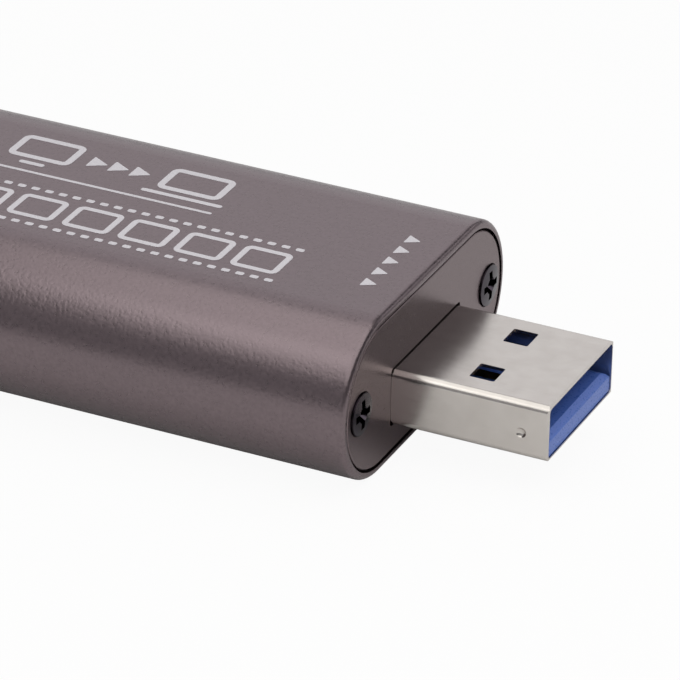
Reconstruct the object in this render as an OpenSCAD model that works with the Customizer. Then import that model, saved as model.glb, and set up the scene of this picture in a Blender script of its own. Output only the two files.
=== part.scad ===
// Video capture box: an extruded metal shell, closed at each end by a screwed plate.
// The board between the plates carries a data plug that stands out of one end
// and a video socket that opens in the other.
// +X points out of the data plug, +Z is up, and the shell lies on z = 0.

/* [Body shell] */
// Length of the extruded shell
body_l = 51; // [46:1:75]
// Width of the shell
body_w = 28.4; // [28:0.2:34]
// Height of the shell, which is also the diameter of its round sides
body_h = 12.8; // [12.2:0.2:17]
// Wall of the extrusion
wall = 1.2; // [1.1:0.1:1.4]
// Wall of the thin lip round each end plate
lip_wall = 0.6; // [0.5:0.05:0.9]
// Rounding of the shell's two end edges
edge_r = 0.45; // [0.1:0.05:0.5]

/* [End plates] */
// Thickness of an end plate
plate_t = 1.2; // [1.1:0.1:2]
// Depth of a plate's outer face inside the shell's end
plate_sunk = 0.05; // [0.05:0.05:0.4]
// Gap between a plate's edge and the lip round it
plate_gap = 0.2; // [0.05:0.05:0.3]
// Rounding of a plate's edges
plate_edge = 0.1; // [0.05:0.05:0.3]

/* [Plate screws] */
// Distance from the shell's side to a screw's axis
screw_inset = 3; // [2.9:0.1:3.5]
// Outside diameter of the thread
screw_d = 2; // [1.6:0.1:2.2]
// Length from the plate's face to the tip
screw_l = 6; // [4:0.5:8]
// Diameter of the raised countersunk head
head_d = 3.2; // [3:0.1:3.6]
// Pitch of the thread
thread_pitch = 0.4; // [0.3:0.05:0.6]
// Depth of the thread
thread_depth = 0.2; // [0.1:0.05:0.25]
// Height of the head's straight rim
head_rim = 0.25; // [0.15:0.05:0.3]
// Rise of the head's crown above its rim
head_crown = 0.12; // [0.05:0.01:0.15]
// Length of the cross recess
cross_l = 2.3; // [1.6:0.1:2.4]
// Width of one slot of the cross recess
cross_w = 0.55; // [0.3:0.05:0.6]
// Depth of the cross recess
cross_depth = 0.7; // [0.4:0.1:0.8]
// Metal round a thread in the shell's screw boss
boss_wall = 0.9; // [0.7:0.1:1.1]

/* [Data plug] */
// Width of the plug's metal shell
plug_w = 12; // [11.5:0.1:12.5]
// Height of the plug's metal shell
plug_h = 4.5; // [4.3:0.1:4.8]
// Sheet thickness of the plug's metal shell
plug_sheet = 0.25; // [0.2:0.05:0.4]
// Outside radius of the plug shell's bends
plug_bend = 0.6; // [0.45:0.05:0.7]
// Length of the plug outside the shell's end
plug_out = 12.3; // [11.8:0.1:15]
// Length of the plug inside the shell's end
plug_in = 5.1; // [4.8:0.1:6]
// Lead-in bevel round the plug's tip
plug_lead = 0.15; // [0.05:0.05:0.15]
// Length of a latch window along the plug
window_l = 1.95; // [1.8:0.05:2.4]
// Width of a latch window
window_w = 2.15; // [2:0.05:2.6]
// Distance of a latch window's middle from the plug's axis
window_y = 3; // [2.6:0.1:3.2]
// Distance from the plug's tip to a latch window
window_from_tip = 5.15; // [5:0.05:6]
// Diameter of the crimp dimple in each side
dimple_d = 0.8; // [0.5:0.1:1]
// Distance of the dimple from the tip
dimple_from_tip = 2.1; // [1.8:0.1:3]
// Distance of the dimple below the plug's axis
dimple_drop = 0.2; // [0:0.1:0.6]
// Room above the tongue, where the mating tongue goes
tongue_room = 2.3; // [1.9:0.05:2.4]
// Depth of that room behind the tip
tongue_room_l = 12.4; // [12.2:0.1:12.8]
// Bevel on the tongue's front edge
tongue_bevel = 0.45; // [0.3:0.05:1]
// Rounding of the tongue's two upper corners
tongue_corner_r = 0.9; // [0.3:0.1:1]
// Distance of the tongue's front behind the tip
tongue_sunk = 0.1; // [0.1:0.1:0.6]

/* [Plug contacts] */
// Thickness of the contact strip
strip_t = 0.2; // [0.15:0.05:0.25]
// Width of a flat contact's pad
pad_w = 1; // [0.8:0.1:1.1]
// Distance from the tip to the two long flat contacts
long_pad_from_tip = 1.6; // [1.4:0.1:2]
// Distance from the tip to the two short flat contacts
short_pad_from_tip = 2.6; // [2.4:0.1:3]
// Width of a contact's embedded neck and tail
neck_w = 0.5; // [0.4:0.05:0.5]
// Pitch of the sprung contacts
spring_pitch = 2; // [1.95:0.05:2.1]
// Height of a sprung contact's crest above the tongue
spring_rise = 0.4; // [0.3:0.05:0.5]
// Length from a sprung contact's root to its crest
spring_reach = 3.4; // [3:0.1:3.6]
// Length of a contact's tail on the board
tail_l = 1.6; // [1.2:0.1:2]

/* [Video socket] */
// Width of the socket's opening
mouth_w = 14; // [13.8:0.1:14.2]
// Height of the socket's opening
mouth_h = 4.55; // [4.4:0.05:4.8]
// Width of the opening's narrow underside
mouth_base_w = 10.6; // [10:0.1:11]
// Height of the sloped lower corners
mouth_slope_h = 1.9; // [1.6:0.1:2.2]
// Sheet thickness of the socket's metal shell
mouth_sheet = 0.3; // [0.2:0.05:0.4]
// Length of the socket's metal shell
mouth_l = 10.6; // [10:0.1:11.5]
// Length of the socket outside the shell's end
mouth_out = 0.2; // [0.1:0.1:0.6]
// Height of the socket's metal shell above the board
mouth_lift = 0.7; // [0.6:0.05:0.9]
// Width of the tongue that carries the contacts
blade_w = 11; // [10.8:0.1:11.4]
// Thickness of the tongue
blade_t = 1.45; // [1.3:0.05:1.6]
// Distance of the tongue's front behind the socket's front
blade_sunk = 1.6; // [1.4:0.1:2]
// Pitch of the contacts in one row
pin_pitch = 1; // [0.95:0.01:1.02]
// Width of a contact
pin_w = 0.3; // [0.25:0.01:0.35]
// Width of a retaining spring
finger_w = 2; // [1.6:0.1:2.2]
// Length of a retaining spring from its root to its crest
finger_reach = 3.6; // [3.2:0.1:3.8]
// Height of a retaining spring's crest inside the opening
finger_rise = 0.4; // [0.3:0.05:0.5]

/* [Board] */
// Thickness of the circuit board
board_t = 1.6; // [1.4:0.1:1.6]
// Width of the circuit board
board_w = 22; // [21:0.5:23.5]
// Distance from the plug's axis down to the middle of the board
board_drop = 1.1; // [0.9:0.05:1.2]
// How far a rail of the shell reaches over the board's edge
rail_grip = 1; // [0.6:0.1:1.5]
// Thickness of a rail above and below the board
rail_t = 0.8; // [0.6:0.1:1]
// Share of the spare height inside the shell that lies under the chip, for the heat pad
pad_share = 0.425; // [0.3:0.025:0.6]

/* [Capture chip] */
// Side of the chip's square package
chip_side = 10; // [9:0.5:11]
// Thickness of the chip's package
chip_t = 1.3; // [1:0.1:1.4]
// Leads on each side of the chip
chip_leads = 16; // [8:2:18]
// Pitch of the chip's leads
chip_pitch = 0.5; // [0.4:0.05:0.5]
// Side of the heat pad between the chip and the shell
heat_pad_side = 9; // [7:0.5:11]

/* [Hidden] */
$fn = 64;
// Overrun of a cut past the face that it opens
cut = 1;
// Clearances in the board's slot in the shell
board_end_gap = 0.3;
board_side_gap = 0.25;
slot_gap = 0.15;

// Places along the length
total_l = mouth_out + body_l + plug_out;
x_front = -total_l / 2;
x_in = x_front + mouth_out;
x_out = x_in + body_l;
x_tip = x_out + plug_out;
x_plate_in = x_in + plate_sunk;
x_plate_out = x_out - plate_sunk;
x_plug_back = x_out - plug_in;
x_mid = (x_in + x_out) / 2;

// Shell
mid_z = body_h / 2;
screw_y = body_w / 2 - screw_inset;
boss_r = screw_d / 2 + boss_wall;
thread_gap = 0.03;
chip_standoff = 0.1;
socket_stack = mouth_lift + mouth_h + 2 * mouth_sheet;
spare_h = body_h - 2 * wall - chip_t - chip_standoff - board_t - socket_stack;
board_z = wall + pad_share * spare_h + chip_t + chip_standoff;
board_top = board_z + board_t;
plug_z = board_z + board_t / 2 + board_drop;
rail_top = board_top + slot_gap + rail_t;
bore_floor = 0.4;
screw_z = max(mid_z, board_top + slot_gap + bore_floor + screw_d / 2 + thread_gap);

// End plates and screws
plate_room = plate_sunk + plate_t;
plug_slot_gap = 0.12;
plug_slot_side_gap = 0.03;
plug_slot_r = 0.3;
mouth_slot_gap = 0.2;
screw_clear = 0.1;
head_gap = 0.1;
head_sunk = 0.1;
core_r = screw_d / 2 - thread_depth;
head_h = head_d / 2 - core_r;
head_top = head_rim + head_crown;
crown_r = (pow(head_d / 2, 2) + pow(head_crown, 2)) / (2 * head_crown);
tip_taper = 0.6;

// Data plug
plug_floor = plug_z - plug_h / 2;
plug_ceiling = plug_z + plug_h / 2;
tongue_z = plug_ceiling - plug_sheet - tongue_room;
insulator_gap = 0.05;
dimple_depth = 0.7 * plug_sheet;
dimple_ball_r = (pow(dimple_d / 2, 2) + pow(dimple_depth, 2)) / (2 * dimple_depth);
ear_w = 1.6;
ear_l = 2.2;
ear_inset = 0.5;
window_corner_r = 0.15;
seam_w = 0.08;

// Plug contacts
pad_proud = 0.05;
pad_inner_y = 1;
pad_outer_y = 3.5;
pad_ys = [-pad_outer_y, -pad_inner_y, pad_inner_y, pad_outer_y];
neck_dip = 0.5;
neck_inward = 0.2;
groove_gap = 0.1;
groove_depth = 1.05;
root_behind_room = 1;
root_from_tip = tongue_room_l + root_behind_room;
root_drop = 0.3;
root_gap = 0.06;
tail_behind_root = strip_t / 2 + root_gap;
tail_bare = 0.1;
tail_flat_l = 0.5;
spring_count = 5;
crest_l = 0.5;
nose_l = 0.45;
nose_drop = 0.15;
tail_slope_l = 1.6;
groove_from_tip = root_from_tip - spring_reach - crest_l - nose_l - 2 * groove_gap;
pad_end = groove_from_tip - groove_gap;

// Video socket
x_mouth_back = x_front + mouth_l;
mouth_floor = board_top + mouth_lift + mouth_sheet;
mouth_ceiling = mouth_floor + mouth_h;
blade_z = mouth_floor + mouth_h / 2;
mouth_corner_r = 0.4;
back_block_l = 3.4;
foot_block_l = 1;
upper_pins = 10;
lower_pins = 9;
pin_t = 0.15;
pin_proud = 0.05;
pin_from_front = blade_sunk + 0.4;
pin_foot_l = 1.1;
leg_w = 1.2;
leg_below = 0.5;
leg_front = 3;
leg_back = 8.6;
leg_places = [leg_front, leg_back];
leg_gap = 0.15;
finger_t = 0.22;
finger_gap = 0.2;
finger_nose_l = 1.1;
finger_crest_l = 0.5;
finger_nose_behind_plate = 0.5;
upper_finger_y = 3.4;
lower_finger_y = 2.6;
x_finger_nose = x_plate_in + plate_t + finger_nose_behind_plate;
x_finger = x_finger_nose + finger_nose_l + finger_reach;

// Board
notch_gap = 0.2;
board_x0 = x_plate_in + plate_t + board_end_gap;
board_x1 = x_plate_out - plate_t - board_end_gap;
// Middle of the free board between the socket's foot and the plug
field_x = (x_mouth_back + foot_block_l + x_plug_back) / 2;

// Chips and small components
chip_face = board_z - chip_standoff - chip_t;
lead_w = 0.22;
lead_t = 0.15;
lead_reach = 0.5;
lead_foot = 0.5;
package_draft = 0.12;
mark_depth = 0.1;
chip_mark_d = 1;
chip_mark_inset = 1.2;

flash_l = 5;
flash_w = 4;
flash_h = 1.4;
flash_pitch = 1.27;
flash_leads = 4;
flash_mark_d = 0.7;
flash_mark_inset = 0.8;
flash_size = [flash_l, flash_w, flash_h];

crystal_l = 5;
crystal_w = 3.2;
crystal_h = 0.6;
crystal_lid_h = 0.4;
crystal_lid_inset = 0.25;
crystal_lid_r = 0.5;

regulator_l = 2.9;
regulator_w = 1.6;
regulator_h = 1.1;
regulator_pitch = 0.95;
regulator_size = [regulator_l, regulator_w, regulator_h];

inductor_l = 3;
inductor_h = 1.5;
inductor_foot = 0.3;
inductor_ring_d = 2.4;
inductor_ring_w = 0.15;

tantalum_l = 3.5;
tantalum_w = 2.8;
tantalum_h = 1.8;

array_l = 1;
array_w = 2.5;
array_h = 0.6;
array_pitch = 3.4;
array_count = 4;
array_clear = 1.5;
array_x = x_mouth_back + foot_block_l + pin_foot_l + array_clear + array_l / 2;

small_l = 1.6;
small_w = 0.8;
capacitor_h = 0.8;
resistor_h = 0.45;
small_cap_l = 0.35;
cap_wrap = 0.03;
y_capacitor_near = 3;
y_capacitor_far = 7.5;
resistor_pitch = 1.2;
resistor_count = 4;

// Rows of components across the board, from the socket towards the plug
row_gap = 0.6;
x_row_3 = field_x;
x_row_2 = x_row_3 - small_l - row_gap;
x_row_1 = x_row_2 - (small_l + flash_l) / 2 - row_gap;
x_row_4 = x_row_3 + (small_l + regulator_l) / 2 + row_gap;
x_row_5 = x_row_4 + (regulator_l + inductor_l) / 2 + row_gap;
y_edge_row = 6.5;
y_chip_row = 5.5;
chip_place = [x_row_2, 0];
flash_place = [x_row_1, y_chip_row];
crystal_place = [x_row_1, -y_chip_row];
regulator_places = [[x_row_4, y_edge_row], [x_row_4, -y_edge_row]];
inductor_places = [[x_row_5, y_edge_row], [x_row_5, -y_edge_row]];
tantalum_place = [x_row_5, 0];
capacitor_places = [
    for (x = [x_row_2, x_row_3], y = [y_capacitor_near, y_capacitor_far], s = [-1, 1]) [x, s * y]
];
resistor_places = [
    for (x = [x_row_1, x_row_4], i = [0 : resistor_count - 1])
        [x, (i - (resistor_count - 1) / 2) * resistor_pitch]
];

// Colours
anodised = "#71676a";
nickel = "#c9c5be";
gold = "#d8b25a";
blue_plastic = "#2f5bb0";
black_plastic = "#1d1d1f";
board_green = "#1f5a3c";
tinned = "#b9bcc0";
dark_steel = "#35313a";

// Shared shapes

// Extrudes a YZ outline along X
module along_x(x0, x1)
    translate([x0, 0, 0]) rotate([90, 0, 90]) linear_extrude(x1 - x0) children();

// Extrudes an XZ outline across Y, centred on y
module across_y(y, w)
    translate([0, y, 0]) rotate([90, 0, 0]) linear_extrude(w, center = true) children();

// A rectangle with full-round ends
module stadium(w, h) {
    square([w - h, h], center = true);
    for (s = [-1, 1]) translate([s * (w - h) / 2, 0]) circle(d = h);
}

// A rectangle with round corners
module round_rect(w, h, r) {
    square([w - 2 * r, h], center = true);
    square([w, h - 2 * r], center = true);
    for (sx = [-1, 1], sy = [-1, 1]) translate([sx * (w / 2 - r), sy * (h / 2 - r)]) circle(r);
}

// A bar of stadium section along X, with its end edges rounded
module rounded_bar(l, w, h, r) {
    flat = w - h;
    rotate([90, 0, 0]) linear_extrude(flat, center = true) round_rect(l, h, r);
    for (s = [-1, 1])
        translate([0, s * flat / 2, 0]) rotate([0, 90, 0]) rotate_extrude() intersection() {
            round_rect(h, l, r);
            translate([0, -l / 2]) square([h, l]);
        }
}

// A box from its lowest to its highest corner
module block(low, high)
    translate(low) cube(high - low);

// A bent strip: its middle line is a list of [x, z] points, and it is t thick and w wide
module strip(line, t, y, w)
    across_y(y, w) polygon(concat(
        [for (p = line) [p[0], p[1] + t / 2]],
        [for (i = [len(line) - 1 : -1 : 0]) [line[i][0], line[i][1] - t / 2]]
    ));

// A moulded package with drafted sides, standing on z = 0
module package(size) {
    draft = package_draft;
    function side(l) = [
        [-l / 2 + draft, 0], [l / 2 - draft, 0], [l / 2, size[2] / 2],
        [l / 2 - draft, size[2]], [-l / 2 + draft, size[2]], [-l / 2, size[2] / 2]
    ];
    intersection() {
        across_y(0, size[1]) polygon(side(size[0]));
        along_x(-size[0] / 2, size[0] / 2) polygon(side(size[1]));
    }
}

// Gull-wing leads along one side of a package, from its flank at x down to a foot on z = 0
module lead_row(x, rise, count, pitch)
    for (i = [0 : count - 1])
        strip([
            [x, rise], [x + lead_t, rise],
            [x + lead_reach, lead_t / 2], [x + lead_reach + lead_foot, lead_t / 2]
        ], lead_t, (i - (count - 1) / 2) * pitch, lead_w);

// The two end caps of a small component of height h, standing on z = 0
module end_caps(h)
    for (s = [-1, 1]) translate([s * (small_l - small_cap_l) / 2, 0, h / 2])
        cube([small_cap_l, small_w + 2 * cap_wrap, h], center = true);

// The body between those end caps
module capped_body(h)
    translate([0, 0, h / 2]) cube([small_l - 2 * small_cap_l, small_w, h], center = true);

// Puts a component on the board's top face
module on_board(places)
    for (p = places) translate([p[0], p[1], board_top]) children();

// Shell and end plates

// Section of the room inside the shell, round the screw bosses and the board's rails
module shell_room() {
    difference() {
        translate([0, mid_z]) stadium(body_w - 2 * wall, body_h - 2 * wall);
        for (s = [-1, 1]) mirror([s < 0 ? 1 : 0, 0]) {
            translate([screw_y, screw_z]) circle(boss_r);
            translate([screw_y, board_z]) square([screw_inset, screw_z + boss_r / 2 - board_z]);
            translate([board_w / 2 - rail_grip, board_z - rail_t])
                square([body_w, rail_top - board_z + rail_t]);
        }
    }
    translate([-board_w / 2 - board_side_gap, board_z])
        square([board_w + 2 * board_side_gap, board_t + slot_gap]);
}

module shell()
    color(anodised) difference() {
        translate([x_mid, 0, mid_z]) rounded_bar(body_l, body_w, body_h, edge_r);
        along_x(x_in - cut, x_out + cut) intersection() {
            shell_room();
            translate([0, mid_z]) stadium(body_w - 2 * lip_wall, body_h - 2 * lip_wall);
        }
        for (x = [x_in - cut, x_out - plate_room])
            along_x(x, x + plate_room + cut)
                translate([0, mid_z]) stadium(body_w - 2 * lip_wall, body_h - 2 * lip_wall);
        for (s = [-1, 1])
            translate([x_in - cut, s * screw_y, screw_z]) rotate([0, 90, 0])
                cylinder(d = screw_d + 2 * thread_gap, h = body_l + 2 * cut);
    }

// An end plate's blank with its two countersunk holes, outer face on x = 0 and facing +X
module plate_blank() {
    edge = lip_wall + plate_gap;
    difference() {
        translate([-plate_t / 2, 0, mid_z])
            rounded_bar(plate_t, body_w - 2 * edge, body_h - 2 * edge, plate_edge);
        for (s = [-1, 1]) translate([0, s * screw_y, screw_z]) rotate([0, 90, 0]) {
            translate([0, 0, -plate_t - cut])
                cylinder(d = screw_d + 2 * screw_clear, h = plate_t + 2 * cut);
            translate([0, 0, -head_h - head_sunk])
                cylinder(r1 = core_r + head_gap, r2 = head_d / 2 + head_gap, h = head_h);
            translate([0, 0, -head_sunk]) cylinder(r = head_d / 2 + head_gap, h = cut);
        }
    }
}

module output_plate()
    color(anodised) difference() {
        translate([x_plate_out, 0, 0]) plate_blank();
        along_x(x_plate_out - plate_t - cut, x_out + cut) translate([0, plug_z])
            round_rect(plug_w + 2 * plug_slot_side_gap, plug_h + 2 * plug_slot_gap, plug_slot_r);
    }

module input_plate()
    color(anodised) difference() {
        translate([x_plate_in, 0, 0]) mirror([1, 0, 0]) plate_blank();
        along_x(x_in - cut, x_plate_in + plate_t + cut) mouth_outline(mouth_sheet + mouth_slot_gap);
    }

// A raised countersunk screw with a cross recess, its cone's wide end up on z = 0
module plate_screw() {
    threads = floor((screw_l - head_h - tip_taper) / thread_pitch);
    thread_top = -head_h;
    difference() {
        union() {
            translate([0, 0, -head_h]) cylinder(r1 = core_r, r2 = head_d / 2, h = head_h);
            rotate_extrude() intersection() {
                translate([0, head_top - crown_r]) circle(crown_r);
                square([head_d / 2, head_top]);
            }
            rotate_extrude() polygon(concat(
                [[0, thread_top]],
                [for (i = [0 : threads - 1], p = [[core_r, 0], [screw_d / 2, -0.5]])
                    [p[0], thread_top + (p[1] - i) * thread_pitch]],
                [[core_r, thread_top - threads * thread_pitch], [core_r / 2, -screw_l], [0, -screw_l]]
            ));
        }
        for (a = [0, 90]) rotate(a)
            translate([-cross_l / 2, -cross_w / 2, head_top - cross_depth])
                cube([cross_l, cross_w, cross_depth + cut]);
        translate([0, 0, head_top - cross_depth])
            cylinder(r1 = cross_w / 2, r2 = cross_w * 1.3, h = cross_depth + head_sunk);
    }
}

module plate_screws()
    color(dark_steel) for (s = [-1, 1]) {
        translate([x_plate_out - head_sunk, s * screw_y, screw_z]) rotate([0, 90, 0]) plate_screw();
        translate([x_plate_in + head_sunk, s * screw_y, screw_z]) rotate([0, -90, 0]) rotate(20)
            plate_screw();
    }

// Data plug

// Section of the plug, drawn in from its outside by inset
module plug_outline(inset)
    translate([0, plug_z]) round_rect(plug_w - 2 * inset, plug_h - 2 * inset, plug_bend - inset);

module plug_shell()
    color(nickel) difference() {
        union() {
            along_x(x_plug_back, x_tip) plug_outline(0);
            // Ears that are soldered to the board beside the plug
            for (s = [-1, 1]) mirror([0, s < 0 ? 1 : 0, 0])
                block(
                    [x_plug_back + ear_inset, plug_w / 2 - plug_sheet, board_top],
                    [x_plug_back + ear_inset + ear_l, plug_w / 2 + ear_w, board_top + plug_sheet]
                );
        }
        along_x(x_plug_back - cut, x_tip + cut) plug_outline(plug_sheet);
        // Lead-in bevels on the four sides of the tip
        for (s = [-1, 1]) {
            translate([x_tip, 0, plug_z + s * plug_h / 2]) rotate([0, 45, 0])
                cube([plug_lead * sqrt(2), 2 * plug_w, plug_lead * sqrt(2)], center = true);
            translate([x_tip, s * plug_w / 2, plug_z]) rotate([0, 0, 45])
                cube([plug_lead * sqrt(2), plug_lead * sqrt(2), 2 * plug_h], center = true);
        }
        // Latch windows, two in the top and two in the underside
        for (s = [-1, 1])
            translate([x_tip - window_from_tip - window_l / 2, s * window_y, plug_floor - cut])
                linear_extrude(plug_h + 2 * cut) round_rect(window_l, window_w, window_corner_r);
        // Crimp dimples
        for (s = [-1, 1])
            translate([
                x_tip - dimple_from_tip,
                s * (plug_w / 2 - dimple_depth + dimple_ball_r),
                plug_z - dimple_drop
            ]) sphere(dimple_ball_r);
        // Opening in the underside where the tails of the sprung contacts come out
        translate([x_plug_back, 0, plug_floor])
            block(
                [-cut, spring_y(0) - neck_w, -cut],
                [tail_slope_l, spring_y(spring_count - 1) + neck_w, plug_sheet + cut / 4]
            );
        // Seam where the bent sheet's edges meet
        block(
            [x_plug_back - cut, -seam_w / 2, plug_floor - cut],
            [x_tip + cut, seam_w / 2, plug_floor + plug_sheet / 2]
        );
    }

module plug_insulator()
    color(blue_plastic) difference() {
        intersection() {
            along_x(x_plug_back, x_tip - tongue_sunk) plug_outline(plug_sheet + insulator_gap);
            union() {
                along_x(x_plug_back, x_tip) translate([0, tongue_z - plug_h / 2])
                    round_rect(plug_w - 2 * plug_sheet, plug_h, tongue_corner_r);
                block([x_plug_back, -plug_w, 0], [x_tip - tongue_room_l, plug_w, body_h]);
            }
        }
        // Bevel along the tongue's front edge
        translate([x_tip - tongue_sunk, 0, tongue_z]) rotate([0, 45, 0])
            cube([tongue_bevel * sqrt(2), plug_w, tongue_bevel * sqrt(2)], center = true);
        // Grooves that the sprung contacts move in
        for (i = [0 : spring_count - 1])
            translate([x_tip, spring_y(i), tongue_z])
                block(
                    [-root_from_tip - tail_behind_root - tail_bare, -neck_w / 2 - groove_gap, -groove_depth],
                    [-groove_from_tip, neck_w / 2 + groove_gap, cut / 2]
                );
        flat_contacts();
        sprung_tails();
    }

// Height of the middle of a flat contact's pad, and of a tail on the board's two faces
pad_z = tongue_z + pad_proud - strip_t / 2;
upper_tail_z = board_top + strip_t / 2;
lower_tail_z = board_z - strip_t / 2;
root_z = tongue_z - root_drop;
x_root = x_tip - root_from_tip;

function spring_y(i) = (i - (spring_count - 1) / 2) * spring_pitch;

// The four flat contacts: a pad on the tongue, a neck inside the plastic and a tail on the board
module flat_contacts()
    for (y = pad_ys) {
        inner = abs(y) < (pad_inner_y + pad_outer_y) / 2;
        front = inner ? short_pad_from_tip : long_pad_from_tip;
        neck_y = inner ? y : y - sign(y) * neck_inward;
        strip([[x_tip - front, pad_z], [x_tip - pad_end, pad_z]], strip_t, y, pad_w);
        strip([
            [x_tip - pad_end + cut / 4, pad_z], [x_tip - pad_end, pad_z],
            [x_tip - pad_end - 2 * neck_dip, pad_z - neck_dip],
            [x_plug_back + tail_slope_l, pad_z - neck_dip], [x_plug_back, upper_tail_z],
            [x_plug_back - tail_l, upper_tail_z]
        ], strip_t, neck_y, neck_w);
    }

module plug_flat_contacts()
    color(gold) flat_contacts();

// The free beams of the five sprung contacts, each with a round root on the line it bends about
module plug_sprung_contacts()
    color(gold) for (i = [0 : spring_count - 1]) {
        crest_z = tongue_z + spring_rise - strip_t / 2;
        strip([
            [x_root, root_z], [x_root + spring_reach / 2, root_z],
            [x_root + spring_reach, crest_z], [x_root + spring_reach + crest_l, crest_z],
            [x_root + spring_reach + crest_l + nose_l, tongue_z - nose_drop]
        ], strip_t, spring_y(i), neck_w);
        translate([x_root, spring_y(i), root_z]) rotate([90, 0, 0])
            cylinder(d = strip_t, h = neck_w, center = true);
    }

// The fixed ends of the sprung contacts, from beside the root to the board's underside
module sprung_tails()
    for (i = [0 : spring_count - 1])
        strip([
            [x_root - tail_behind_root, root_z], [x_root - tail_behind_root - tail_flat_l, root_z],
            [x_plug_back + tail_slope_l / 4, lower_tail_z], [x_plug_back - tail_l, lower_tail_z]
        ], strip_t, spring_y(i), neck_w);

module plug_sprung_tails()
    color(gold) sprung_tails();

// Video socket

// Section of the socket's opening, grown outwards by out
module mouth_outline(out)
    offset(r = out + mouth_corner_r) offset(delta = -mouth_corner_r) polygon([
        [-mouth_w / 2, mouth_ceiling], [-mouth_w / 2, mouth_floor + mouth_slope_h],
        [-mouth_base_w / 2, mouth_floor], [mouth_base_w / 2, mouth_floor],
        [mouth_w / 2, mouth_floor + mouth_slope_h], [mouth_w / 2, mouth_ceiling]
    ]);

// Windows that the retaining springs move in
module finger_windows(y, z)
    for (s = [-1, 1])
        block(
            [x_finger_nose - finger_gap, s * y - finger_w / 2 - finger_gap, z - 2 * mouth_sheet],
            [x_finger + finger_t / 2 + root_gap, s * y + finger_w / 2 + finger_gap, z + 2 * mouth_sheet]
        );

module socket_shell()
    color(nickel) difference() {
        union() {
            along_x(x_front, x_mouth_back) mouth_outline(mouth_sheet);
            // Legs that go through the board
            for (x = leg_places, s = [-1, 1]) mirror([0, s < 0 ? 1 : 0, 0])
                block(
                    [x_front + x - leg_w / 2, mouth_w / 2, board_z - leg_below],
                    [x_front + x + leg_w / 2, mouth_w / 2 + mouth_sheet, mouth_ceiling - mouth_h / 3]
                );
        }
        along_x(x_front - cut, x_mouth_back + cut) mouth_outline(0);
        finger_windows(upper_finger_y, mouth_ceiling + mouth_sheet / 2);
        finger_windows(lower_finger_y, mouth_floor - mouth_sheet / 2);
    }

// The retaining springs of one side: up is 1 for the top and -1 for the underside
module fingers(y, z, up)
    for (s = [-1, 1]) {
        crest_z = z - up * (finger_rise + mouth_sheet / 2 - finger_t / 2);
        strip([
            [x_finger, z], [x_finger - finger_reach, crest_z],
            [x_finger - finger_reach - finger_crest_l, crest_z], [x_finger_nose, z]
        ], finger_t, s * y, finger_w);
        translate([x_finger, s * y, z]) rotate([90, 0, 0])
            cylinder(d = finger_t, h = finger_w, center = true);
    }

module socket_upper_springs()
    color(nickel) fingers(upper_finger_y, mouth_ceiling + mouth_sheet / 2, 1);

module socket_lower_springs()
    color(nickel) fingers(lower_finger_y, mouth_floor - mouth_sheet / 2, -1);

module socket_insulator()
    color(black_plastic) difference() {
        union() {
            along_x(x_mouth_back - back_block_l, x_mouth_back) mouth_outline(-insulator_gap);
            block(
                [x_front + blade_sunk, -blade_w / 2, blade_z - blade_t / 2],
                [x_mouth_back, blade_w / 2, blade_z + blade_t / 2]
            );
            // The foot behind the metal shell, which stands on the board
            block(
                [x_mouth_back, -mouth_w / 2, board_top],
                [x_mouth_back + foot_block_l, mouth_w / 2, mouth_ceiling]
            );
        }
        socket_contacts(upper_pins, 1);
        socket_contacts(lower_pins, -1);
    }

// A row of contacts: up is 1 for the row on the tongue's top and -1 for the one below it
module socket_contacts(count, up) {
    z = blade_z + up * (blade_t / 2 + pin_proud - pin_t / 2);
    x_drop = x_mouth_back + foot_block_l;
    for (i = [0 : count - 1]) {
        low = (i - (count - 1) / 2) * pin_pitch - pin_w / 2;
        high = low + pin_w;
        block([x_front + pin_from_front, low, z - pin_t / 2], [x_drop + pin_t, high, z + pin_t / 2]);
        block([x_drop, low, board_top], [x_drop + pin_t, high, z + pin_t / 2]);
        block([x_drop, low, board_top], [x_drop + pin_foot_l, high, board_top + pin_t]);
    }
}

module socket_upper_contacts()
    color(gold) socket_contacts(upper_pins, 1);

module socket_lower_contacts()
    color(gold) socket_contacts(lower_pins, -1);

// Board and what is soldered to it

module circuit_board()
    color(board_green) difference() {
        block([board_x0, -board_w / 2, board_z], [board_x1, board_w / 2, board_top]);
        // Notch that the plug sits in
        block(
            [x_plug_back - notch_gap, -plug_w / 2 - notch_gap, board_z - cut],
            [board_x1 + cut, plug_w / 2 + notch_gap, board_top + cut]
        );
        // Slots for the socket's legs
        for (x = leg_places, s = [-1, 1])
            translate([x_front + x, s * (mouth_w + mouth_sheet) / 2, board_z - cut])
                linear_extrude(board_t + 2 * cut)
                    square([leg_w + 2 * leg_gap, mouth_sheet + 2 * leg_gap], center = true);
    }

// Turns a component over, onto the board's underside
module under_board(place)
    translate([place[0], place[1], board_z]) mirror([0, 0, 1]) children();

module capture_chip()
    color(black_plastic) under_board(chip_place) difference() {
        translate([0, 0, chip_standoff]) package([chip_side, chip_side, chip_t]);
        mark = chip_mark_inset - chip_side / 2;
        translate([mark, mark, chip_standoff + chip_t - mark_depth]) cylinder(d = chip_mark_d, h = cut);
    }

module capture_chip_leads()
    color(tinned) under_board(chip_place) for (a = [0 : 90 : 270]) rotate(a)
        lead_row(chip_side / 2, chip_standoff + chip_t / 2, chip_leads, chip_pitch);

// Soft pad that carries the chip's heat to the shell's floor
module heat_pad()
    color("#8fa3b8") translate([chip_place[0], chip_place[1], 0])
        block(
            [-heat_pad_side / 2, -heat_pad_side / 2, wall],
            [heat_pad_side / 2, heat_pad_side / 2, chip_face]
        );

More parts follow.
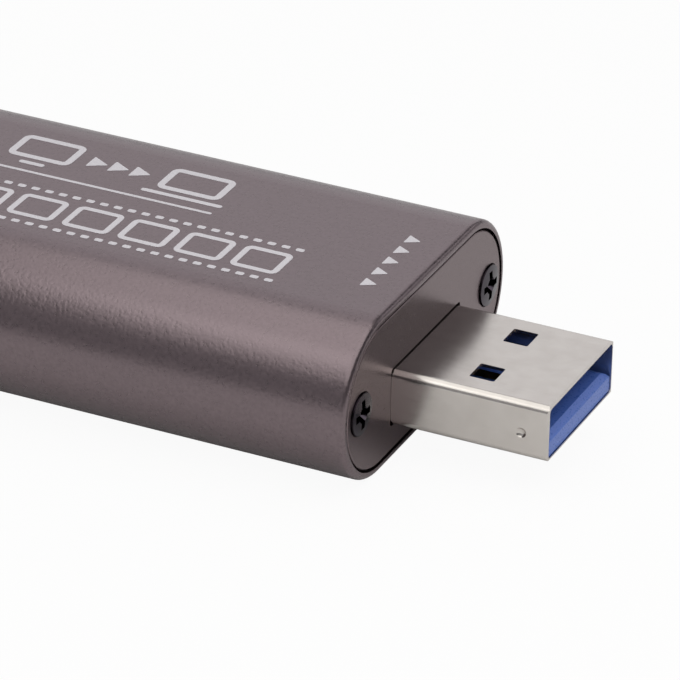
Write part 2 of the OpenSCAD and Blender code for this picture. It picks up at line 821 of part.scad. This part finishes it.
module flash_chip()
    color(black_plastic) on_board([flash_place]) difference() {
        translate([0, 0, chip_standoff]) package(flash_size);
        mark = [flash_mark_inset - flash_l / 2, flash_mark_inset - flash_w / 2];
        translate([mark[0], mark[1], chip_standoff + flash_h - mark_depth])
            cylinder(d = flash_mark_d, h = cut);
    }

module flash_chip_leads()
    color(tinned) on_board([flash_place]) for (a = [90, 270]) rotate(a)
        lead_row(flash_w / 2, chip_standoff + flash_h / 2, flash_leads, flash_pitch);

module crystal_base()
    color("#4a4038") on_board([crystal_place])
        translate([0, 0, crystal_h / 2]) cube([crystal_l, crystal_w, crystal_h], center = true);

module crystal_lid()
    color(tinned) on_board([crystal_place]) translate([0, 0, crystal_h]) linear_extrude(crystal_lid_h)
        round_rect(crystal_l - 2 * crystal_lid_inset, crystal_w - 2 * crystal_lid_inset, crystal_lid_r);

module regulators()
    color(black_plastic) on_board(regulator_places) translate([0, 0, chip_standoff]) package(regulator_size);

module regulator_leads()
    color(tinned) on_board(regulator_places) {
        rotate(90) lead_row(regulator_w / 2, chip_standoff + regulator_h / 2, 2, 2 * regulator_pitch);
        rotate(270) lead_row(regulator_w / 2, chip_standoff + regulator_h / 2, 3, regulator_pitch);
    }

module power_inductors()
    color("#3a3a3d") on_board(inductor_places) difference() {
        translate([0, 0, inductor_foot]) package([inductor_l, inductor_l, inductor_h - inductor_foot]);
        translate([0, 0, inductor_h - inductor_ring_w]) difference() {
            cylinder(d = inductor_ring_d, h = cut);
            translate([0, 0, -cut]) cylinder(d = inductor_ring_d - 2 * inductor_ring_w, h = 3 * cut);
        }
    }

module inductor_terminals()
    color(tinned) on_board(inductor_places) for (s = [-1, 1])
        translate([s * inductor_l / 3, 0, inductor_foot / 2])
            cube([inductor_l / 4, inductor_l * 0.8, inductor_foot], center = true);

module tantalum_capacitor()
    color("#c58a2a") on_board([tantalum_place]) translate([0, 0, lead_t])
        package([tantalum_l, tantalum_w, tantalum_h]);

module tantalum_terminals()
    color(tinned) on_board([tantalum_place]) for (s = [-1, 1])
        translate([s * tantalum_l / 3, 0, lead_t / 2])
            cube([tantalum_l / 4, tantalum_w * 0.7, lead_t], center = true);

module surge_arrays()
    color(black_plastic)
        on_board([for (i = [0 : array_count - 1]) [array_x, (i - (array_count - 1) / 2) * array_pitch]])
            package([array_l, array_w, array_h]);

module ceramic_capacitors()
    color("#b08a5e") on_board(capacitor_places) capped_body(capacitor_h);

module capacitor_terminals()
    color(tinned) on_board(capacitor_places) end_caps(capacitor_h);

module chip_resistors()
    color("#232326") on_board(resistor_places) capped_body(resistor_h);

module resistor_terminals()
    color(tinned) on_board(resistor_places) end_caps(resistor_h);

shell();
output_plate();
input_plate();
plate_screws();
plug_shell();
plug_insulator();
plug_flat_contacts();
plug_sprung_contacts();
plug_sprung_tails();
socket_shell();
socket_insulator();
socket_upper_contacts();
socket_lower_contacts();
socket_upper_springs();
socket_lower_springs();
circuit_board();
capture_chip();
capture_chip_leads();
heat_pad();
flash_chip();
flash_chip_leads();
crystal_base();
crystal_lid();
regulators();
regulator_leads();
power_inductors();
inductor_terminals();
tantalum_capacitor();
tantalum_terminals();
surge_arrays();
ceramic_capacitors();
capacitor_terminals();
chip_resistors();
resistor_terminals();
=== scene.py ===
import math

import bpy
from mathutils import Matrix, Vector


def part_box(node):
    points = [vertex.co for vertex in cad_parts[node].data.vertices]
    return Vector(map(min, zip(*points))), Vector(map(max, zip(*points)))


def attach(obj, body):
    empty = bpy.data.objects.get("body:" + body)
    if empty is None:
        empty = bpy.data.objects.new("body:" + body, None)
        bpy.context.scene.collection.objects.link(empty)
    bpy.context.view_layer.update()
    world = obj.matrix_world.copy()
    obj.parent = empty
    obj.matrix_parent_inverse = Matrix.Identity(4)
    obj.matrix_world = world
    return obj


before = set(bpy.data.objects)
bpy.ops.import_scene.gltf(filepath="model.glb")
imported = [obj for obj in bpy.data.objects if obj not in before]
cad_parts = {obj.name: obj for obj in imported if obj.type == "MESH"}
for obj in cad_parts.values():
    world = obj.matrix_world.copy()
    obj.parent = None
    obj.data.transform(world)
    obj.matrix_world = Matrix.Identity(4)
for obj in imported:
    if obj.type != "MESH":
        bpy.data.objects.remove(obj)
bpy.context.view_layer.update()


# Circuit board: a glass laminate under green solder mask, which shows the copper tracks
# below it as raised, paler lines. It slides into the shell's rails.
def start_finish(name, colour, metallic, roughness):
    """A new material: its tree, its shader and its object coordinates."""
    finish = bpy.data.materials.new(name)
    finish.use_nodes = True
    tree = finish.node_tree
    shader = tree.nodes["Principled BSDF"]
    shader.inputs["Base Color"].default_value = (*colour, 1)
    shader.inputs["Metallic"].default_value = metallic
    shader.inputs["Roughness"].default_value = roughness
    place = tree.nodes.new("ShaderNodeTexCoord").outputs["Object"]
    return finish, tree, shader, place


def speckle(tree, place, size_mm, detail):
    """Noise whose specks are about size_mm across."""
    noise = tree.nodes.new("ShaderNodeTexNoise")
    noise.inputs["Scale"].default_value = 1000 / size_mm
    noise.inputs["Detail"].default_value = detail
    tree.links.new(place, noise.inputs["Vector"])
    return noise.outputs["Fac"]


def tracks(tree, place, run_mm, pitch_mm, width_mm):
    """Lines of a staggered grid, run_mm long and pitch_mm apart: 1 on a line and 0 beside it."""
    grid = tree.nodes.new("ShaderNodeTexBrick")
    grid.inputs["Color1"].default_value = (0, 0, 0, 1)
    grid.inputs["Color2"].default_value = (0, 0, 0, 1)
    grid.inputs["Mortar"].default_value = (1, 1, 1, 1)
    grid.inputs["Scale"].default_value = 1000
    grid.inputs["Mortar Size"].default_value = width_mm / 2
    grid.inputs["Mortar Smooth"].default_value = 0.2
    grid.inputs["Brick Width"].default_value = run_mm
    grid.inputs["Row Height"].default_value = pitch_mm
    tree.links.new(place, grid.inputs["Vector"])
    return grid.outputs["Color"]


noise_low, noise_high = 0.3, 0.7  # nearly all of a noise lies between these


def rescale(tree, source, source_low, source_high, low, high):
    """The source, brought from its own span to low and high, and held between them."""
    span = tree.nodes.new("ShaderNodeMapRange")
    span.inputs["From Min"].default_value = source_low
    span.inputs["From Max"].default_value = source_high
    span.inputs["To Min"].default_value = low
    span.inputs["To Max"].default_value = high
    tree.links.new(source, span.inputs["Value"])
    return span.outputs["Result"]


def vary(tree, shader, socket, source, low, high):
    """Drives a value of the shader between low and high."""
    value = rescale(tree, source, noise_low, noise_high, low, high)
    tree.links.new(value, shader.inputs[socket])


def tint(tree, shader, source, dark, light):
    """Drives the base colour between two shades."""
    ramp = tree.nodes.new("ShaderNodeValToRGB")
    ends = zip(ramp.color_ramp.elements, (noise_low, noise_high), (dark, light))
    for end, position, shade in ends:
        end.position = position
        end.color = (*shade, 1)
    tree.links.new(source, ramp.inputs["Fac"])
    tree.links.new(ramp.outputs["Color"], shader.inputs["Base Color"])


def bumps(tree, shader, source, height_mm, strength):
    """Raises the surface by up to height_mm."""
    bump = tree.nodes.new("ShaderNodeBump")
    bump.inputs["Strength"].default_value = strength
    bump.inputs["Distance"].default_value = height_mm / 1000
    tree.links.new(source, bump.inputs["Height"])
    tree.links.new(bump.outputs["Normal"], shader.inputs["Normal"])


def dress(finish, *names):
    """Gives CAD nodes a finish."""
    for name in names:
        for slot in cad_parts[name].material_slots:
            slot.material = finish


solder_mask, tree, shader, place = start_finish(
    "green_solder_mask", (0.012, 0.09, 0.04), 0, 0.3
)
lines = tracks(tree, place, 6, 0.9, 0.28)
tint(tree, shader, lines, (0.008, 0.06, 0.028), (0.02, 0.15, 0.06))
vary(tree, shader, "Roughness", speckle(tree, place, 0.3, 3), 0.24, 0.36)
bumps(tree, shader, lines, 0.03, 0.6)
dress(solder_mask, "circuit_board")


# Chips, regulators and surge arrays: packages of black moulding compound, dull and
# finely grained, which stand on their leads on the board.
moulding, tree, shader, place = start_finish(
    "black_moulding_compound", (0.014, 0.014, 0.015), 0, 0.55
)
grain = speckle(tree, place, 0.1, 4)
tint(tree, shader, grain, (0.01, 0.01, 0.011), (0.022, 0.022, 0.023))
vary(tree, shader, "Roughness", grain, 0.48, 0.64)
bumps(tree, shader, grain, 0.01, 0.5)
dress(moulding, "capture_chip", "flash_chip", "regulators", "surge_arrays")


# Leads, lids and end caps of the components: copper or steel, plated with dull tin and
# soldered to the board.
tin, tree, shader, place = start_finish("dull_tin_plating", (0.6, 0.6, 0.62), 1, 0.35)
grain = speckle(tree, place, 0.08, 3)
tint(tree, shader, grain, (0.54, 0.54, 0.56), (0.66, 0.66, 0.68))
vary(tree, shader, "Roughness", grain, 0.28, 0.45)
dress(
    tin, "capture_chip_leads", "flash_chip_leads", "regulator_leads", "crystal_lid",
    "inductor_terminals", "tantalum_terminals", "capacitor_terminals", "resistor_terminals",
)


# Heat pad: a soft sheet of silicone, filled with ceramic powder to carry heat. It is
# pressed between the chip under the board and the shell's floor.
silicone, tree, shader, place = start_finish("filled_silicone", (0.27, 0.36, 0.48), 0, 0.7)
grain = speckle(tree, place, 0.25, 5)
tint(tree, shader, grain, (0.22, 0.3, 0.41), (0.32, 0.42, 0.54))
bumps(tree, shader, grain, 0.03, 0.6)
dress(silicone, "heat_pad")


# Crystal base, capacitors and resistors: fired ceramic, in each part's own colour, with
# its fine pores. They are soldered to the board by their metal ends.
for name, dark, light, node in (
    ("brown_ceramic", (0.045, 0.032, 0.026), (0.08, 0.06, 0.05), "crystal_base"),
    ("tan_ceramic", (0.3, 0.18, 0.075), (0.44, 0.28, 0.13), "ceramic_capacitors"),
    ("black_glazed_ceramic", (0.012, 0.012, 0.014), (0.026, 0.026, 0.03), "chip_resistors"),
):
    ceramic, tree, shader, place = start_finish(name, light, 0, 0.45)
    grain = speckle(tree, place, 0.12, 4)
    tint(tree, shader, grain, dark, light)
    vary(tree, shader, "Roughness", grain, 0.35, 0.55)
    bumps(tree, shader, grain, 0.006, 0.4)
    dress(ceramic, node)


# Inductors: a coil pressed into a block of iron powder, grey and coarsely grained, and
# soldered to the board by the terminals at its ends.
iron_powder, tree, shader, place = start_finish(
    "pressed_iron_powder", (0.045, 0.045, 0.048), 0.2, 0.6
)
grain = speckle(tree, place, 0.14, 5)
tint(tree, shader, grain, (0.03, 0.03, 0.032), (0.075, 0.075, 0.08))
vary(tree, shader, "Roughness", grain, 0.5, 0.72)
bumps(tree, shader, grain, 0.02, 0.6)
dress(iron_powder, "power_inductors")


# Bulk capacitor: a block of amber moulding compound with a dark bar printed across its
# positive end, soldered to the board by the terminals folded under it.
def along(tree, place, axis):
    """One of the three coordinates."""
    parts = tree.nodes.new("ShaderNodeSeparateXYZ")
    tree.links.new(place, parts.inputs["Vector"])
    return parts.outputs[axis]


def reckon(tree, operation, *terms):
    """A sum on values, each of them a number or the output of a node."""
    step = tree.nodes.new("ShaderNodeMath")
    step.operation = operation
    for socket, term in zip(step.inputs, terms):
        if isinstance(term, float):
            socket.default_value = term
        else:
            tree.links.new(term, socket)
    return step.outputs["Value"]


bar_width = 0.0007
bar_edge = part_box("tantalum_capacitor")[0][0] + bar_width
amber, tree, shader, place = start_finish("amber_moulding_compound", (0.5, 0.24, 0.03), 0, 0.5)
beside_bar = reckon(tree, "GREATER_THAN", along(tree, place, "X"), bar_edge)
tint(tree, shader, beside_bar, (0.2, 0.07, 0.015), (0.5, 0.24, 0.03))
grain = speckle(tree, place, 0.1, 4)
vary(tree, shader, "Roughness", grain, 0.42, 0.6)
bumps(tree, shader, grain, 0.01, 0.5)
dress(amber, "tantalum_capacitor")


# Socket insulator: a tongue, a back block and a foot, moulded in one from black plastic.
# It holds the socket's contacts, and stands on the board inside the socket's shell.
black_plastic, tree, shader, place = start_finish(
    "black_moulded_plastic", (0.014, 0.014, 0.015), 0, 0.45
)
grain = speckle(tree, place, 0.12, 3)
vary(tree, shader, "Roughness", grain, 0.38, 0.55)
bumps(tree, shader, grain, 0.004, 0.3)
dress(black_plastic, "socket_insulator")


# Contacts of the plug and the socket: strips stamped from copper alloy, bent to shape
# and gold-plated, which are pushed into the insulators and soldered to the board.
gold, tree, shader, place = start_finish("gold_plating", (0.78, 0.53, 0.2), 1, 0.2)
grain = speckle(tree, place, 0.1, 2)
tint(tree, shader, grain, (0.72, 0.47, 0.165), (0.83, 0.58, 0.24))
vary(tree, shader, "Roughness", grain, 0.15, 0.26)
dress(
    gold, "plug_flat_contacts", "plug_sprung_contacts", "plug_sprung_tails",
    "socket_upper_contacts", "socket_lower_contacts",
)


# Plug and socket shells: strips of thin steel, each folded round to a box with its edges
# meeting in a seam underneath, punched with windows and plated with nickel.
def stretched(tree, place, scale):
    """The coordinates, scaled by axis, for streaks along one of them."""
    mapping = tree.nodes.new("ShaderNodeMapping")
    mapping.inputs["Scale"].default_value = scale
    tree.links.new(place, mapping.inputs["Vector"])
    return mapping.outputs["Vector"]


nickel, tree, shader, place = start_finish("nickel_plating", (0.62, 0.58, 0.555), 1, 0.22)
rolling_marks = speckle(tree, stretched(tree, place, (0.06, 1, 1)), 0.12, 3)
clouds = speckle(tree, place, 1.4, 5)
tint(tree, shader, clouds, (0.595, 0.555, 0.53), (0.645, 0.605, 0.58))
vary(tree, shader, "Roughness", rolling_marks, 0.19, 0.25)
bumps(tree, shader, rolling_marks, 0.001, 0.2)
dress(nickel, "plug_shell", "socket_shell", "socket_upper_springs", "socket_lower_springs")


# Plug insulator: a moulded blue plastic tongue with a block behind it, pushed into the
# plug's shell from the back.
blue_plastic, tree, shader, place = start_finish(
    "blue_moulded_plastic", (0.097, 0.203, 0.7), 0, 0.3
)
grain = speckle(tree, place, 0.15, 3)
tint(tree, shader, grain, (0.091, 0.191, 0.67), (0.103, 0.215, 0.73))
vary(tree, shader, "Roughness", grain, 0.25, 0.36)
bumps(tree, shader, grain, 0.004, 0.3)
dress(blue_plastic, "plug_insulator")


# Shell: one aluminium extrusion with full-round sides, cut to length, bead-blasted
# and anodised a warm brown-grey. Its screw bosses and board rails run inside along
# the whole length, and each end is turned down to a thin lip for the end plate.
blasted_metal, tree, shader, place = start_finish(
    "blasted_anodised_metal", (0.208, 0.165, 0.178), 1, 0.3
)
grain = speckle(tree, place, 0.28, 1)
tint(tree, shader, grain, (0.194, 0.154, 0.166), (0.222, 0.176, 0.19))
vary(tree, shader, "Roughness", grain, 0.27, 0.33)
bumps(tree, shader, grain, 0.028, 0.5)
dress(blasted_metal, "shell")


# End plates: two flat aluminium plates, machined and anodised with the shell but left
# smooth, which lie inside its lips. Each has two countersunk holes and one slot.
smooth_metal, tree, shader, place = start_finish(
    "smooth_anodised_metal", (0.197, 0.15, 0.16), 1, 0.3
)
grain = speckle(tree, place, 0.09, 2)
tint(tree, shader, grain, (0.187, 0.142, 0.151), (0.207, 0.158, 0.169))
vary(tree, shader, "Roughness", grain, 0.27, 0.33)
bumps(tree, shader, grain, 0.004, 0.35)
dress(smooth_metal, "output_plate", "input_plate")


# Plate screws: small countersunk steel screws with a cross recess, plated a dark grey.
# Two hold each end plate, and turn into the bosses inside the shell.
dark_plating, tree, shader, place = start_finish(
    "dark_zinc_plating", (0.062, 0.052, 0.067), 1, 0.18
)
grain = speckle(tree, place, 0.2, 3)
tint(tree, shader, grain, (0.055, 0.046, 0.06), (0.069, 0.058, 0.074))
vary(tree, shader, "Roughness", grain, 0.14, 0.22)
dress(dark_plating, "plate_screws")


# Print: pale ink on the shell's top face. Two rows of marks say which way the picture
# goes, from a screen to a computer, and a mark near the plug points out of that end.
print_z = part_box("shell")[1][2]
ink_thickness = 0.00003
corner_steps = 5
bpy.ops.object.select_all(action="DESELECT")
bpy.ops.mesh.primitive_plane_add(size=0.001, location=(0, 0, 0))
ink_marks = bpy.context.object
ink_marks.name = "top_print"
bpy.ops.object.mode_set(mode="EDIT")
bpy.ops.mesh.delete(type="VERT")


def ink_bar(x0, y0, x1, y1, corner, line=0):
    """A rectangle in millimetres with round corners; with a line width, only its outline."""
    middle = ((x0 + x1) / 2000, (y0 + y1) / 2000, print_z)
    bpy.ops.mesh.select_all(action="DESELECT")
    bpy.ops.mesh.primitive_plane_add(size=0.001, location=middle)
    bpy.ops.transform.resize(value=(x1 - x0, y1 - y0, 1), center_override=middle)
    bpy.ops.mesh.bevel(offset=corner / 1000, affect="VERTICES", segments=corner_steps)
    if line:
        bpy.ops.mesh.inset(thickness=line / 1000)
        bpy.ops.mesh.delete(type="FACE")


def ink_triangle(x, y, radius, corner):
    """A triangle that points to +X, in millimetres, with round corners."""
    middle = (x / 1000, y / 1000, print_z)
    bpy.ops.mesh.select_all(action="DESELECT")
    bpy.ops.mesh.primitive_circle_add(
        vertices=3, radius=radius / 1000, fill_type="NGON", location=middle
    )
    bpy.ops.transform.rotate(value=math.radians(90), orient_axis="Z", center_override=middle)
    bpy.ops.mesh.bevel(offset=corner / 1000, affect="VERTICES", segments=corner_steps)


# The screen on its foot, three arrowheads, the computer on its base, and a rule below.
screen_low, screen_high, screen_corner, screen_line = 3, 6.6, 0.7, 0.55
foot_low, foot_high, foot_corner = 2.05, 2.5, 0.2
ink_bar(-17, screen_low, -11.7, screen_high, screen_corner, screen_line)
ink_bar(-15.4, foot_low, -13.3, foot_high, foot_corner)
for arrow_x in (-10.1, -8.3, -6.5):
    ink_triangle(arrow_x, 4.6, 1, 0.15)
ink_bar(-4.4, screen_low, 0.9, screen_high, screen_corner, screen_line)
ink_bar(-5.1, foot_low, 1.6, foot_high, foot_corner)
ink_bar(-16.6, 0.8, 1.4, 1.1, 0.14)

# The film strip: its pictures, each with four holes above and four below.
film_start, pictures, picture_pitch, picture_width = -21.6, 7, 4.6, 3.85
picture_low, picture_high, picture_corner, picture_line = -5.7, -2.25, 0.6, 0.48
holes, hole_width, hole_height, hole_corner = 4, 0.65, 0.45, 0.14
hole_pitch = picture_pitch / holes
for picture in range(pictures):
    x = film_start + picture_pitch * picture
    ink_bar(x, picture_low, x + picture_width, picture_high, picture_corner, picture_line)
    for hole_y in (-6.85, -1.55):
        for hole in range(holes):
            hole_x = x + hole_pitch * hole
            ink_bar(hole_x, hole_y, hole_x + hole_width, hole_y + hole_height, hole_corner)

# The row of arrowheads across the plug's end.
for arrow_y in (-3.7, -1.8, 0.1, 2, 3.9):
    ink_triangle(16.3, arrow_y, 0.75, 0.12)
bpy.ops.object.mode_set(mode="OBJECT")
coat = ink_marks.modifiers.new("coat", "SOLIDIFY")
coat.thickness = ink_thickness
coat.offset = 0
bpy.ops.object.modifier_apply(modifier="coat")
pale_ink, tree, shader, place = start_finish("pale_ink", (0.68, 0.65, 0.7), 0, 0.5)
wear = speckle(tree, place, 0.1, 4)
tint(tree, shader, wear, (0.63, 0.6, 0.65), (0.73, 0.7, 0.75))
vary(tree, shader, "Roughness", wear, 0.42, 0.6)
bumps(tree, shader, wear, 0.004, 0.4)
ink_marks.data.materials.append(pale_ink)
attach(ink_marks, "box")


# Studio: a plain pale floor, near white to the camera, which keeps the shadow, and five
# soft lamps: a wide one overhead with a small key below it, one behind, one at the
# plug's far side and a dim one in front. To metal only, the floor carries a painted glow,
# a painted reflection that is faint near the box and strong far behind it. The camera
# has the photograph's angle.
floor_z = -0.00005  # just clear of the shell's underside
camera_glow = 0.94  # how far the floor is plain white to the camera
near_y, far_y = 0.03, 0.12
near_painted_glow, far_painted_glow = 0.03, 0.6  # painted reflection: the floor's glow as metal sees it, faint near the box, strong far behind
bpy.ops.object.select_all(action="DESELECT")
bpy.ops.mesh.primitive_plane_add(size=6, location=(0, 0, floor_z))
bpy.ops.object.transform_apply(location=True, rotation=False, scale=False)
floor = bpy.context.object
floor.name = "floor"
paper, tree, shader, place = start_finish("pale_floor", (0.9, 0.9, 0.9), 0, 1)
shader.inputs["Specular IOR Level"].default_value = 0
floor.data.materials.append(paper)
glow = tree.nodes.new("ShaderNodeEmission")
glow.inputs["Color"].default_value = (1, 1, 1, 1)
rays = tree.nodes.new("ShaderNodeLightPath").outputs
mirrored = reckon(tree, "MAXIMUM", rays["Is Glossy Ray"], rays["Is Transmission Ray"])
# Painted reflection: to metal the floor glows more the further behind the box it lies.
painted_reflection_glow = rescale(tree, along(tree, place, "Y"), near_y, far_y, near_painted_glow, far_painted_glow)
painted_reflection_share = reckon(tree, "MULTIPLY", mirrored, painted_reflection_glow)
share = reckon(tree, "MULTIPLY_ADD", rays["Is Camera Ray"], camera_glow, painted_reflection_share)
blend = tree.nodes.new("ShaderNodeMixShader")
tree.links.new(share, blend.inputs["Fac"])
tree.links.new(shader.outputs["BSDF"], blend.inputs[1])
tree.links.new(glow.outputs["Emission"], blend.inputs[2])
tree.links.new(blend.outputs["Shader"], tree.nodes["Material Output"].inputs["Surface"])

world = bpy.data.worlds.new("studio")
bpy.context.scene.world = world
world.use_nodes = True
world.node_tree.nodes["Background"].inputs["Color"].default_value = (0.14, 0.14, 0.145, 1)


def soft_light(name, place, aim, width, height, brightness, tone=(1, 1, 1)):
    """A flat lamp at place, turned towards aim, as bright as brightness times white paper."""
    lamp = bpy.data.lights.new(name, "AREA")
    lamp.shape = "RECTANGLE"
    lamp.size = width
    lamp.size_y = height
    lamp.energy = brightness * math.pi * width * height
    lamp.color = tone
    holder = bpy.data.objects.new(name, lamp)
    bpy.context.collection.objects.link(holder)
    turn = (Vector(aim) - Vector(place)).to_track_quat("-Z", "Y").to_matrix().to_4x4()
    holder.matrix_world = Matrix.Translation(place) @ turn


warm = (1, 1, 0.96)
soft_light("overhead_light", (0.05, -0.09, 0.2), (0.05, -0.09, 0), 0.34, 0.41, 1.26, warm)
soft_light("key_light", (-0.069, -0.11, 0.19), (-0.069, -0.11, 0), 0.03, 0.09, 0.95, warm)
soft_light("back_light", (-0.45, 0.9, 0.5), (0, 0, 0.05), 1.3, 0.9, 0.74)
soft_light("side_light", (0.5, 0.9, 0.33), (0, 0, 0.02), 0.5, 0.27, 0.85)
soft_light("front_light", (-0.4, -1, 0.32), (0, 0, 0), 1.2, 0.6, 0.2)

photo_width, focal_length = 680, 5279.422  # both in pixels
lens = bpy.data.cameras.new("camera")
lens.sensor_fit = "HORIZONTAL"
lens.sensor_width = 36
lens.lens = focal_length / photo_width * lens.sensor_width
camera = bpy.data.objects.new("camera", lens)
bpy.context.collection.objects.link(camera)
right = Vector((0.903705, 0.427777, 0.018019))
up = Vector((-0.216174, 0.419545, 0.881618))
back = Vector((0.369576, -0.800618, 0.471619))
turn = Matrix((right, up, back)).transposed().to_4x4()
camera.matrix_world = Matrix.Translation((0.156013, -0.310906, 0.188562)) @ turn
bpy.context.scene.camera = camera
bpy.context.scene.view_settings.view_transform = "Standard"
